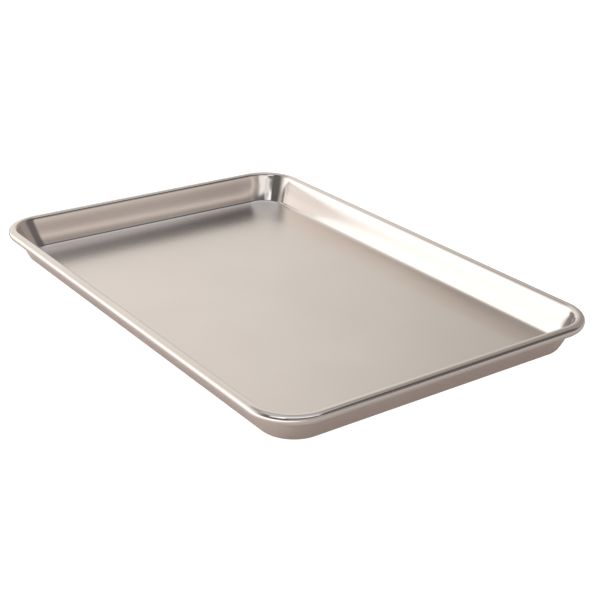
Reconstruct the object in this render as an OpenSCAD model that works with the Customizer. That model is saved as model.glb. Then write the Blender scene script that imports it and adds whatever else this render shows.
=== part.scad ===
// Jelly roll pan: one pressed aluminium sheet, its rim rolled over a steel rod.
// All sizes are in millimetres. The origin is at the middle of the base, X runs along the
// length, Y across the width and Z up. The base lies on z = 0.

/* [Pan] */
// Length over the rolled rim
pan_l = 400; // [300:1:500]
// Width over the rolled rim
pan_w = 275; // [200:1:360]
// Height from the base to the top of the rim
pan_h = 25; // [18:0.5:40]
// Radius of the rim's outer edge at each corner, seen from above
corner_r = 33; // [24:0.5:60]
// Lean of the walls outward from upright, in degrees
wall_flare = 20; // [5:0.5:30]
// Radius of the inside of the bend between floor and wall
floor_bend_r = 3; // [1:0.25:6]
// Depth of the faint crease where the wall meets that bend
foot_crease = 0.02; // [0.01:0.01:0.1]

/* [Sheet] */
// Thickness of the aluminium sheet
sheet_t = 1; // [0.6:0.05:1.5]

/* [Rolled rim] */
// Diameter of the steel rod inside the rim
wire_d = 5; // [3:0.1:6]
// Space all round the rod inside the curl
wire_gap = 0.2; // [0.05:0.05:0.5]
// Space between the curl's free edge and the outside of the wall
curl_edge_gap = 0.15; // [0.05:0.05:0.5]
// Space between the two butted ends of the rod
wire_butt_gap = 0.6; // [0.1:0.1:3]

/* [Hidden] */

aluminium = [0.80, 0.78, 0.76];
galvanised = [0.62, 0.64, 0.66];
section_facets = 64;
corner_facets = 128;
// Pieces of the fan that cuts an arc out of a ring, and how far it reaches past the ring
fan_steps = 8;
fan_reach = 1.5;

// Centres of the corner arcs, seen from above
corner_x = pan_l / 2 - corner_r;
corner_y = pan_w / 2 - corner_r;

// The curl, centred on the rod. Distances out are taken from the corner centre.
curl_r = wire_d / 2 + wire_gap;
bead_r = curl_r + sheet_t;
bead_out = corner_r - bead_r;
bead_z = pan_h - bead_r;
// The curl's free edge stops this far round from the wall, clear of the wall's outside
curl_open = acos((curl_r - curl_edge_gap) / bead_r);

// The bend between floor and wall, centred on the pan's inside. The wall stands in from the
// bend's arc by the crease, so the bend runs on into the wall and the wall down into the bend.
bend_outside_r = floor_bend_r + sheet_t;
bend_z = bend_outside_r;
crease_angle = acos(1 - foot_crease / floor_bend_r);
outer_crease_angle = acos(1 - foot_crease / bend_outside_r);
bend_run_on = (crease_angle + outer_crease_angle) / 2;
wall_run_on = (floor_bend_r * sin(crease_angle) + bend_outside_r * sin(outer_crease_angle)) / 2;
bend_to_bead = floor_bend_r - foot_crease + bead_r;
wall_len = (bead_z - bend_z + bend_to_bead * sin(wall_flare)) / cos(wall_flare);
bend_out = bead_out - bend_to_bead * cos(wall_flare) - wall_len * sin(wall_flare);

// A strip of sheet bent round [0, 0], from one angle to a larger one
module bent_strip(inside_r, from, to) {
    outside_r = inside_r + sheet_t;
    step = (to - from) / fan_steps;
    reach = outside_r * fan_reach;
    fan = [for (i = [0:fan_steps]) reach * [cos(from + i * step), sin(from + i * step)]];
    intersection() {
        difference() {
            circle(r = outside_r, $fn = section_facets);
            circle(r = inside_r, $fn = section_facets);
        }
        polygon(concat([[0, 0]], fan));
    }
}

// The sheet from the corner centre outward: floor, bend, wall and curl, as one bent strip
module sheet_section() {
    square([bend_out, sheet_t]);
    translate([bend_out, bend_z])
        bent_strip(floor_bend_r, -90, bend_run_on - wall_flare);
    translate([bead_out, bead_z])
        rotate(-wall_flare) {
            translate([-bead_r, -wall_len - wall_run_on])
                square([sheet_t, wall_len + wall_run_on]);
            bent_strip(curl_r, curl_open - 180, 180);
        }
}

// One straight run of the section, on the side that faces +X
module straight_run(out, len) {
    translate([out, len / 2, 0])
        rotate([90, 0, 0])
            linear_extrude(len)
                children();
}

// The section carried once round the pan: four straight runs and four quarter turns
module round_the_pan() {
    for (turn = [0, 180])
        rotate(turn) {
            straight_run(corner_x, 2 * corner_y)
                children();
            rotate(90)
                straight_run(corner_y, 2 * corner_x)
                    children();
            translate([corner_x, corner_y, 0])
                rotate_extrude(angle = 90, $fn = corner_facets)
                    children();
            translate([-corner_x, corner_y, 0])
                rotate(90)
                    rotate_extrude(angle = 90, $fn = corner_facets)
                        children();
        }
}

module pan_body() {
    color(aluminium) {
        round_the_pan()
            sheet_section();
        translate([-corner_x, -corner_y, 0])
            cube([2 * corner_x, 2 * corner_y, sheet_t]);
    }
}

// The rod's ends meet in the middle of the long side at the back
module rim_wire() {
    color(galvanised)
        difference() {
            round_the_pan()
                translate([bead_out, bead_z])
                    circle(d = wire_d, $fn = section_facets);
            translate([-wire_butt_gap / 2, corner_y, bead_z - wire_d])
                cube([wire_butt_gap, corner_r, 2 * wire_d]);
        }
}

pan_body();
rim_wire();
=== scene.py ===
"""A jelly roll pan of bare aluminium in a plain white studio. All lengths are in metres."""

import math

import bpy
from mathutils import Matrix, Vector


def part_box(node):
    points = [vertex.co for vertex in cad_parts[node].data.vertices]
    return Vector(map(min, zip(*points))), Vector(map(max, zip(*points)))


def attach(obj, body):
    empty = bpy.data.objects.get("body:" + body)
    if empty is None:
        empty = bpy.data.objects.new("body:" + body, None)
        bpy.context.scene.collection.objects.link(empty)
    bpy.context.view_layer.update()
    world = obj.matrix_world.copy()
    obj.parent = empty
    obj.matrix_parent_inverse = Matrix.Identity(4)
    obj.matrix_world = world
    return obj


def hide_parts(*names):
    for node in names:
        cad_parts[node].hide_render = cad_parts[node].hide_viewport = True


MM = 0.001

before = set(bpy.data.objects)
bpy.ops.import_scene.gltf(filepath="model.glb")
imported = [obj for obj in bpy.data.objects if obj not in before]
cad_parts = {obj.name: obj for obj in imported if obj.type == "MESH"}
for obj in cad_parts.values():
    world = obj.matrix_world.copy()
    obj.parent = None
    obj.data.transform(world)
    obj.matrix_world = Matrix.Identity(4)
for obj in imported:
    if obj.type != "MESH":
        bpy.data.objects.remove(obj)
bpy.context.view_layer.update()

# The pan's sizes. Overall length, width and height come from the frame.
pan_low, pan_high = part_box("pan_body")
rod_low, rod_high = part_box("rim_wire")
PAN_L = pan_high.x - pan_low.x
PAN_W = pan_high.y - pan_low.y
PAN_H = pan_high.z - pan_low.z
BEAD_R = pan_high.x - rod_high.x + (rod_high.z - rod_low.z) / 2
SHEET = 1.0 * MM
CORNER_R = 33 * MM
FLARE = math.radians(20)
BEND_R = 3 * MM
CURL_EDGE_GAP = 0.15 * MM

# How far in from the rim's outermost edge the line of the wall's outside meets the base
FOOT_IN = BEAD_R + (BEAD_R - SHEET + (PAN_H - BEAD_R) * math.sin(FLARE)) / math.cos(FLARE)

# The body's corner radius there, and how much larger that is than the rim's own centres give:
# the walls swing round more gently at the foot than at the rim
FOOT_CORNER_R = 23.3 * MM
CORNER_GROWTH = FOOT_CORNER_R - (CORNER_R - FOOT_IN)

# How far the walls bow, as a slope at the foot
WALL_BOW = 0.105

# The drawn ripples in the corner walls: depth, number, and how soon they reach that depth
RIPPLE = 0.11 * MM
RIPPLES = 4.5
RIPPLE_RISE = 0.7

# How much the rim's shoulders stand out from a circle
RIM_SWELL = 0.06

# The least corner radius of a ring under the rim's centres and of one on the floor, and how
# much of the way to the middle the floor's rings go
LEAST_RING_R = 0.2 * MM
LEAST_FLOOR_R = 1 * MM
FLOOR_REACH = 0.92

# How finely the pan is drawn
CORNER_STEPS = 48
SIDE_STEPS = 14
CURL_STEPS = 44
BEND_STEPS = 10
WALL_STEPS = 14
FLOOR_STEPS = 8

# The corners anticlockwise from the one at +X and +Y, and the numbers of the pan's finishes
CORNERS = ((1, 1), (-1, 1), (-1, -1), (1, -1))
FLOOR, WALL, RIM = 0, 1, 2

# Bare aluminium and zinc coating, each where it is dullest and where it is brightest
ALUMINIUM = ((0.3, (0.86, 0.80, 0.755)), (0.7, (0.90, 0.845, 0.80)))
ZINC = ((0.0, (0.42, 0.44, 0.46)), (1.0, (0.60, 0.62, 0.65)))

# The studio's light by height, as (sine of the elevation, colour)
ROOF = (
    (0.0, (0.18, 0.17, 0.17)),
    (0.5, (0.105, 0.098, 0.10)),
    (0.775, (0.085, 0.08, 0.09)),
    (0.865, (0.57, 0.59, 0.62)),
    (1.0, (0.50, 0.52, 0.54)),
)
RIGHT_WALL = (
    (0.0, (0.34, 0.30, 0.285)),
    (0.22, (0.36, 0.32, 0.30)),
    (0.285, (0.80, 0.73, 0.68)),
    (0.35, (0.38, 0.345, 0.32)),
    (0.42, (0.35, 0.32, 0.305)),
    (0.54, (0.12, 0.12, 0.13)),
    (0.60, (0.0, 0.0, 0.0)),
)
LEFT_WALL = (
    (0.0, (0.88, 0.86, 0.83)),
    (0.5, (0.86, 0.82, 0.775)),
    (0.65, (0.80, 0.76, 0.72)),
    (0.74, (0.42, 0.40, 0.38)),
    (0.85, (0.30, 0.29, 0.28)),
)
BACK_WALL = (0.34, 0.31, 0.29)
FRONT_LIGHT = (1.34, 1.34, 1.33)

# How directions are scaled in height, so that a round mask comes out wide or tall
WIDE = 1.5
TALL = 0.3

# The table's paint, the faint glow painted on it all over as light, the brighter painted pool of
# light outside the near long side, which grows between two places along Y, and the white that only
# the camera sees on it
TABLE_PAINT = (0.76, 0.715, 0.69, 1)
TABLE_GLOW = (0.14, 0.122, 0.115, 1)
SIDE_GLOW = (0.95, 0.92, 0.90, 1)
SIDE_GLOW_NONE_Y = -0.145
SIDE_GLOW_FULL_Y = -0.205
TABLE_WHITE = 0.9

# Half the table's width, and how far it lies under the pan's base
TABLE_HALF = 15
TABLE_DROP = 0.2 * MM


def node_tree(owner):
    """The emptied node tree of a material or a world."""
    owner.use_nodes = True
    tree = owner.node_tree
    tree.nodes.clear()
    return tree


def add(tree, kind, **settings):
    """A node with its settings and the values of its inputs."""
    node = tree.nodes.new(kind)
    for name, value in settings.items():
        if name == "inputs":
            for socket, number in value.items():
                node.inputs[socket].default_value = number
        else:
            setattr(node, name, value)
    return node


def camera():
    """The photograph's viewpoint, as a turn round the pan, a distance and a small aim offset."""
    azimuth, elevation, roll = (math.radians(a) for a in (53.522, 23.849, 1.425))
    distance, aim_right, aim_up = 0.92304, 0.02006, -0.00223
    focal_px, centre_x, centre_y, frame_px = 1220.5, 302.3, 299.6, 600
    back = Vector((
        math.sin(azimuth) * math.cos(elevation),
        -math.cos(azimuth) * math.cos(elevation),
        math.sin(elevation),
    ))
    level_right = Vector((math.cos(azimuth), math.sin(azimuth), 0))
    level_up = back.cross(level_right)
    right = level_right * math.cos(roll) + level_up * math.sin(roll)
    up = level_up * math.cos(roll) - level_right * math.sin(roll)
    data = bpy.data.cameras.new("camera")
    data.sensor_width = 36
    data.lens = focal_px / frame_px * data.sensor_width
    data.shift_x = (frame_px / 2 - centre_x) / frame_px
    data.shift_y = (centre_y - frame_px / 2) / frame_px
    data.clip_start = 0.01
    data.clip_end = 100
    view = bpy.data.objects.new("camera", data)
    bpy.context.scene.collection.objects.link(view)
    turn = Matrix((right, up, back)).transposed().to_4x4()
    place = back * distance + right * aim_right + up * aim_up
    view.matrix_world = Matrix.Translation(place) @ turn
    bpy.context.scene.camera = view


# In the section of the sheet each point is (distance in from the rim's outermost edge, height).

def arc(centre_in, centre_z, radius, start, end, steps):
    """Points round a centre, angles in degrees. 0 points out of the pan and 90 up."""
    points = []
    for i in range(steps + 1):
        a = math.radians(start + (end - start) * i / steps)
        points.append((centre_in - radius * math.cos(a), centre_z + radius * math.sin(a)))
    return points


def bowed_wall(foot, rim, steps):
    """The wall between foot and rim, without its ends: a shade flatter near the foot."""
    run, rise = foot[0] - rim[0], rim[1] - foot[1]
    points = []
    for i in range(1, steps):
        t = i / steps
        bow = WALL_BOW * t * (1 - t) ** 2
        points.append((foot[0] - run * t - rise * bow, foot[1] + rise * t - run * bow))
    return points


def flattened(point, centre, flare):
    """A point of the rim's outside, moved out on both shoulders, so that the top is flatter."""
    out, up = centre[0] - point[0], point[1] - centre[1]
    angle = math.degrees(math.atan2(up, out))
    swell = 0
    if 0 < angle < 90:
        swell = RIM_SWELL * math.sin(math.radians(2 * angle)) ** 2
    elif 90 <= angle < 180 - flare:
        swell = RIM_SWELL * math.sin(math.pi * (angle - 90) / (90 - flare)) ** 2
    return (centre[0] - out * (1 + swell), centre[1] + up * (1 + swell))


def section():
    """The sheet's outline, from the floor's top out over the rim to the floor's underside."""
    flare = math.degrees(FLARE)
    curl_r = BEAD_R - SHEET
    bead_in, bead_z = BEAD_R, PAN_H - BEAD_R
    curl_open = math.degrees(math.acos((curl_r - CURL_EDGE_GAP) / BEAD_R))
    bend_z = SHEET + BEND_R
    reach = BEAD_R + BEND_R + (bead_z - bend_z) * math.sin(FLARE)
    bend_in = bead_in + reach / math.cos(FLARE)
    wall_angle = 180 - flare
    open_angle = wall_angle - 360 + curl_open

    inner_bend = arc(bend_in, bend_z, BEND_R, -90, -flare, BEND_STEPS)
    outer_curl = arc(bead_in, bead_z, BEAD_R, wall_angle, open_angle, CURL_STEPS)
    outer_curl = [flattened(point, (bead_in, bead_z), flare) for point in outer_curl]
    inner_curl = arc(bead_in, bead_z, curl_r, open_angle, wall_angle, CURL_STEPS)
    outer_bend = arc(bend_in, bend_z, BEND_R + SHEET, -flare, -90, BEND_STEPS)
    inside = inner_bend + bowed_wall(inner_bend[-1], outer_curl[0], WALL_STEPS) + outer_curl
    outer_wall = bowed_wall(outer_bend[0], inner_curl[-1], WALL_STEPS)
    outside = inner_curl + outer_wall[::-1] + outer_bend
    return inside, outside


def foot_share(height):
    """0 at the rim's centre and above, and 1 at the base."""
    top = PAN_H - BEAD_R
    return min(max((top - height) / top, 0), 1)


def corner_arc(quarter, inset, height, radius, ripple):
    """Points round one corner, with ripples that fade out towards both sides."""
    side_x, side_y = CORNERS[quarter]
    centre_x = side_x * (PAN_L / 2 - inset - radius)
    centre_y = side_y * (PAN_W / 2 - inset - radius)
    points = []
    for i in range(CORNER_STEPS + 1):
        part = i / CORNER_STEPS
        angle = math.pi / 2 * (quarter + part)
        wave = math.sin(2 * math.pi * RIPPLES * part + quarter) * math.sin(math.pi * part) ** 2
        out = radius + ripple * wave
        points.append(Vector((
            centre_x + out * math.cos(angle),
            centre_y + out * math.sin(angle),
            height,
        )))
    return points


def ring(inset, height, share):
    """One turn of points round the pan, anticlockwise from where the +X side ends."""
    radius = max(CORNER_R - inset, LEAST_RING_R) + share * CORNER_GROWTH
    ripple = RIPPLE * math.sin(math.pi * share) ** RIPPLE_RISE if 0 < share < 1 else 0
    arcs = [corner_arc(quarter, inset, height, radius, ripple) for quarter in range(4)]
    points = []
    for quarter, corner in enumerate(arcs):
        start, end = corner[-1], arcs[(quarter + 1) % 4][0]
        points += corner
        points += [start.lerp(end, j / SIDE_STEPS) for j in range(1, SIDE_STEPS)]
    return points


def floor_ring(edge_in, inset, height):
    """A ring on the floor, its corner radius shrinking as it goes in."""
    edge_r = CORNER_R - edge_in + CORNER_GROWTH
    radius = max(edge_r - (inset - edge_in), LEAST_FLOOR_R)
    share = (radius - max(CORNER_R - inset, LEAST_RING_R)) / CORNER_GROWTH
    return ring(inset, height, share)


def floor_faces(vertices, first, count, edge_in, height, underside):
    """The floor inside one ring of points: more rings, and one flat face in their middle."""
    faces = []
    depth = min(PAN_L, PAN_W) / 2 - edge_in
    for step in range(1, FLOOR_STEPS):
        inset = edge_in + depth * FLOOR_REACH * (step / (FLOOR_STEPS - 1))
        start = len(vertices)
        vertices += floor_ring(edge_in, inset, height)
        for i in range(count):
            j = (i + 1) % count
            faces.append((first + i, first + j, start + j, start + i))
        first = start
    faces.append(tuple(range(first, first + count)))
    return [face[::-1] for face in faces] if underside else faces


def zone_of(strip, inside_count):
    """Which finish the strip between one section point and the next has."""
    if BEND_STEPS + WALL_STEPS <= strip < inside_count + CURL_STEPS:
        return RIM
    return WALL


def pan_mesh():
    """The whole sheet as one closed mesh: inside, over the rim, round the curl and underneath."""
    inside, outside = section()
    loops = [ring(inset, height, foot_share(height)) for inset, height in inside + outside]
    count = len(loops[0])
    last = (len(loops) - 1) * count
    vertices = [point for loop in loops for point in loop]
    faces = []
    zones = []
    for strip in range(len(loops) - 1):
        here, there = strip * count, (strip + 1) * count
        for i in range(count):
            j = (i + 1) % count
            faces.append((here + i, there + i, there + j, here + j))
            zones.append(zone_of(strip, len(inside)))
    faces += floor_faces(vertices, 0, count, inside[0][0], SHEET, False)
    faces += floor_faces(vertices, last, count, outside[-1][0], 0.0, True)
    zones += [FLOOR] * (len(faces) - len(zones))

    mesh = bpy.data.meshes.new("pan_sheet")
    mesh.from_pydata([tuple(point) for point in vertices], [], faces)
    mesh.polygons.foreach_set("material_index", zones)
    mesh.polygons.foreach_set("use_smooth", [True] * len(faces))
    mesh.update()
    mesh.validate()
    return mesh


def colour_ramp(tree, stops):
    """A ramp through (position, colour) stops."""
    ramp = add(tree, "ShaderNodeValToRGB")
    elements = ramp.color_ramp.elements
    while len(elements) < len(stops):
        elements.new(0.5)
    for element, (position, colour) in zip(elements, stops):
        element.position = position
        element.color = (*colour, 1)
    return ramp


def aluminium(name, roughness, grain, grain_depth, blotch):
    """Bare aluminium: fine grain, faint cloudiness and a roughness that wanders with it."""
    material = bpy.data.materials.new(name)
    tree = node_tree(material)
    place = add(tree, "ShaderNodeTexCoord")
    stretch = add(tree, "ShaderNodeMapping", inputs={"Scale": grain})
    fine = add(tree, "ShaderNodeTexNoise", inputs={"Scale": 1.0, "Detail": 4.0, "Roughness": 0.6})
    cloud = add(tree, "ShaderNodeTexNoise", inputs={"Scale": 14.0, "Detail": 3.0, "Roughness": 0.5})
    rough = add(tree, "ShaderNodeMapRange", inputs={
        "From Min": 0.3, "From Max": 0.7, "To Min": roughness - blotch, "To Max": roughness + blotch,
    })
    tint = colour_ramp(tree, ALUMINIUM)
    bump = add(tree, "ShaderNodeBump", inputs={"Strength": 0.12, "Distance": grain_depth})
    metal = add(tree, "ShaderNodeBsdfPrincipled", inputs={"Metallic": 1.0})
    out = add(tree, "ShaderNodeOutputMaterial")
    link = tree.links.new
    link(place.outputs["Object"], stretch.inputs["Vector"])
    link(stretch.outputs["Vector"], fine.inputs["Vector"])
    link(place.outputs["Object"], cloud.inputs["Vector"])
    link(cloud.outputs["Fac"], tint.inputs["Fac"])
    link(cloud.outputs["Fac"], rough.inputs["Value"])
    link(fine.outputs["Fac"], bump.inputs["Height"])
    link(tint.outputs["Color"], metal.inputs["Base Color"])
    link(rough.outputs["Result"], metal.inputs["Roughness"])
    link(bump.outputs["Normal"], metal.inputs["Normal"])
    link(metal.outputs["BSDF"], out.inputs["Surface"])
    return material


def galvanised_steel():
    """Zinc-coated steel: dull blue-grey with soft crystal patches."""
    material = bpy.data.materials.new("galvanised_steel")
    tree = node_tree(material)
    place = add(tree, "ShaderNodeTexCoord")
    spangle = add(tree, "ShaderNodeTexVoronoi", inputs={"Scale": 350.0})
    tint = colour_ramp(tree, ZINC)
    bump = add(tree, "ShaderNodeBump", inputs={"Strength": 0.2, "Distance": 0.05 * MM})
    metal = add(tree, "ShaderNodeBsdfPrincipled", inputs={"Metallic": 1.0, "Roughness": 0.45})
    out = add(tree, "ShaderNodeOutputMaterial")
    link = tree.links.new
    link(place.outputs["Object"], spangle.inputs["Vector"])
    link(spangle.outputs["Distance"], tint.inputs["Fac"])
    link(spangle.outputs["Distance"], bump.inputs["Height"])
    link(tint.outputs["Color"], metal.inputs["Base Color"])
    link(bump.outputs["Normal"], metal.inputs["Normal"])
    link(metal.outputs["BSDF"], out.inputs["Surface"])
    return material


def pan():
    """The sheet as one piece in place of the solid, and the zinc finish of the rod in its rim."""
    mesh = pan_mesh()
    piece = bpy.data.objects.new("pan_sheet", mesh)
    bpy.context.scene.collection.objects.link(piece)
    for material in (
        aluminium("pan_floor", 0.22, (900, 900, 900), 0.001 * MM, 0.01),
        aluminium("pan_wall", 0.15, (40, 40, 900), 0.002 * MM, 0.01),
        aluminium("pan_rim", 0.14, (60, 60, 900), 0.002 * MM, 0.01),
    ):
        mesh.materials.append(material)
    mesh.set_sharp_from_angle(angle=math.radians(40))
    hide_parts("pan_body")
    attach(piece, "root")
    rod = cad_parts["rim_wire"]
    rod.data.materials.clear()
    rod.data.materials.append(galvanised_steel())


def heading(azimuth, elevation):
    """A unit vector. Azimuth 0 is +X and 90 is +Y."""
    a, e = math.radians(azimuth), math.radians(elevation)
    return Vector((math.cos(a) * math.cos(e), math.sin(a) * math.cos(e), math.sin(e)))


def height_ramp(tree, height, stops):
    """Light that changes with height above the horizon, from (sine of the elevation, colour)."""
    ramp = colour_ramp(tree, stops)
    tree.links.new(height, ramp.inputs["Fac"])
    return ramp.outputs["Color"]


def patch(tree, direction, toward, inner, outer):
    """A soft round mask: 1 within the inner angle and 0 past the outer one, in degrees."""
    aim = add(tree, "ShaderNodeVectorMath", operation="DOT_PRODUCT")
    aim.inputs[1].default_value = toward
    fall = add(tree, "ShaderNodeMapRange", interpolation_type="SMOOTHSTEP", inputs={
        "From Min": math.cos(math.radians(outer)), "From Max": math.cos(math.radians(inner)),
    })
    tree.links.new(direction, aim.inputs[0])
    tree.links.new(aim.outputs["Value"], fall.inputs["Value"])
    return fall.outputs["Result"]


def stretched(tree, direction, rise):
    """The direction with its height scaled, so that round masks turn wide or tall."""
    scale = add(tree, "ShaderNodeVectorMath", operation="MULTIPLY")
    scale.inputs[1].default_value = (1, 1, rise)
    unit = add(tree, "ShaderNodeVectorMath", operation="NORMALIZE")
    tree.links.new(direction, scale.inputs[0])
    tree.links.new(scale.outputs["Vector"], unit.inputs[0])
    return unit.outputs["Vector"]


def glow(tree, mask, colour):
    """A colour dimmed by a mask. The colour is a triple or another node's output."""
    shine = add(tree, "ShaderNodeVectorMath", operation="SCALE")
    if isinstance(colour, tuple):
        shine.inputs[0].default_value = colour
    else:
        tree.links.new(colour, shine.inputs[0])
    tree.links.new(mask, shine.inputs["Scale"])
    return shine.outputs["Vector"]


def brighter(tree, a, b):
    """The brighter of two lights in each direction."""
    node = add(tree, "ShaderNodeVectorMath", operation="MAXIMUM")
    tree.links.new(a, node.inputs[0])
    tree.links.new(b, node.inputs[1])
    return node.outputs["Vector"]


def studio():
    """Soft light from all round: white low at the left front, dim between roof and walls."""
    world = bpy.data.worlds.new("studio")
    bpy.context.scene.world = world
    tree = node_tree(world)
    place = add(tree, "ShaderNodeTexCoord")
    direction = place.outputs["Generated"]
    split = add(tree, "ShaderNodeSeparateXYZ")
    tree.links.new(direction, split.inputs["Vector"])
    height = split.outputs["Z"]
    wide = stretched(tree, direction, WIDE)
    tall = stretched(tree, direction, TALL)

    right_wall = height_ramp(tree, height, RIGHT_WALL)
    left_wall = height_ramp(tree, height, LEFT_WALL)
    right = glow(tree, patch(tree, tall, heading(-3, 0), 34, 46), right_wall)
    left = glow(tree, patch(tree, tall, heading(-170, 0), 25, 88), left_wall)
    back = glow(tree, patch(tree, tall, heading(108, 0), 30, 52), BACK_WALL)
    front = glow(tree, patch(tree, wide, heading(-140, 2), 14, 48), FRONT_LIGHT)
    total = height_ramp(tree, height, ROOF)
    for light in (right, left, back, front):
        total = brighter(tree, total, light)

    sky = add(tree, "ShaderNodeBackground")
    out = add(tree, "ShaderNodeOutputWorld")
    tree.links.new(total, sky.inputs["Color"])
    tree.links.new(sky.outputs["Background"], out.inputs["Surface"])
    bpy.context.scene.view_settings.view_transform = "Standard"


def soft_box(name, centre, aim, width, height, level):
    """A flat rectangular light of even brightness."""
    data = bpy.data.lights.new(name, "AREA")
    data.shape = "RECTANGLE"
    data.size = width
    data.size_y = height
    data.energy = level * math.pi * width * height
    lamp = bpy.data.objects.new(name, data)
    bpy.context.scene.collection.objects.link(lamp)
    lamp.location = centre
    lamp.rotation_euler = (Vector(aim) - Vector(centre)).to_track_quat("-Z", "Y").to_euler()
    lamp.visible_camera = False
    return lamp


def lights():
    """Two boxes that show only as reflections in the metal, and a key light for the table alone."""
    back_corner = (-0.19, 0.13, 0)
    rear = soft_box("rear_box", (0.295, -0.106, 0.283), back_corner, 0.36, 0.085, 0.80)
    rear.visible_diffuse = False
    side = soft_box("side_box", (0.37, -0.68, 0.69), back_corner, 0.42, 0.30, 1.12)
    side.visible_diffuse = False
    key = soft_box("key_box", (-1.5, -1.25, 1.3), (0, 0, 0), 0.9, 0.9, 3.4)
    key.visible_glossy = False


def table_white():
    """Pale paint with painted light, a faint glow all over and a brighter pool beside the near long
    side, and white wherever the camera looks at it.
    """
    material = bpy.data.materials.new("floor_white")
    tree = node_tree(material)
    place = add(tree, "ShaderNodeTexCoord")
    split = add(tree, "ShaderNodeSeparateXYZ")
    # Where the painted pool of light outside the near long side is, along Y
    beside = add(tree, "ShaderNodeMapRange", interpolation_type="SMOOTHSTEP", inputs={
        "From Min": SIDE_GLOW_NONE_Y, "From Max": SIDE_GLOW_FULL_Y,
    })
    # The painted light on the table: a faint glow, turning to a bright painted pool of light outside
    # the near long side
    pool = add(tree, "ShaderNodeMix", data_type="RGBA")
    factor, first, second = (pool.inputs[number] for number in (0, 6, 7))
    first.default_value = TABLE_GLOW
    second.default_value = SIDE_GLOW
    bounce = add(tree, "ShaderNodeEmission")
    paint = add(tree, "ShaderNodeBsdfDiffuse", inputs={"Color": TABLE_PAINT})
    white = add(tree, "ShaderNodeEmission", inputs={"Color": (1, 1, 1, 1)})
    seen = add(tree, "ShaderNodeLightPath")
    gain = add(tree, "ShaderNodeMath", operation="MULTIPLY")
    gain.inputs[1].default_value = TABLE_WHITE
    both = add(tree, "ShaderNodeAddShader")
    whole = add(tree, "ShaderNodeAddShader")
    out = add(tree, "ShaderNodeOutputMaterial")
    link = tree.links.new
    link(place.outputs["Object"], split.inputs["Vector"])
    link(split.outputs["Y"], beside.inputs["Value"])
    link(beside.outputs["Result"], factor)
    link(pool.outputs[2], bounce.inputs["Color"])
    link(seen.outputs["Is Camera Ray"], gain.inputs[0])
    link(gain.outputs["Value"], white.inputs["Strength"])
    link(paint.outputs["BSDF"], both.inputs[0])
    link(white.outputs["Emission"], both.inputs[1])
    link(both.outputs["Shader"], whole.inputs[0])
    link(bounce.outputs["Emission"], whole.inputs[1])
    link(whole.outputs["Shader"], out.inputs["Surface"])
    return material


def floor():
    """A plain white floor, just under the pan's base."""
    mesh = bpy.data.meshes.new("floor")
    corners = [(x * TABLE_HALF, y * TABLE_HALF, 0) for x, y in ((-1, -1), (1, -1), (1, 1), (-1, 1))]
    mesh.from_pydata(corners, [], [(0, 1, 2, 3)])
    ground = bpy.data.objects.new("floor", mesh)
    bpy.context.scene.collection.objects.link(ground)
    ground.location.z = -TABLE_DROP
    mesh.materials.append(table_white())


camera()
studio()
lights()
floor()
pan()
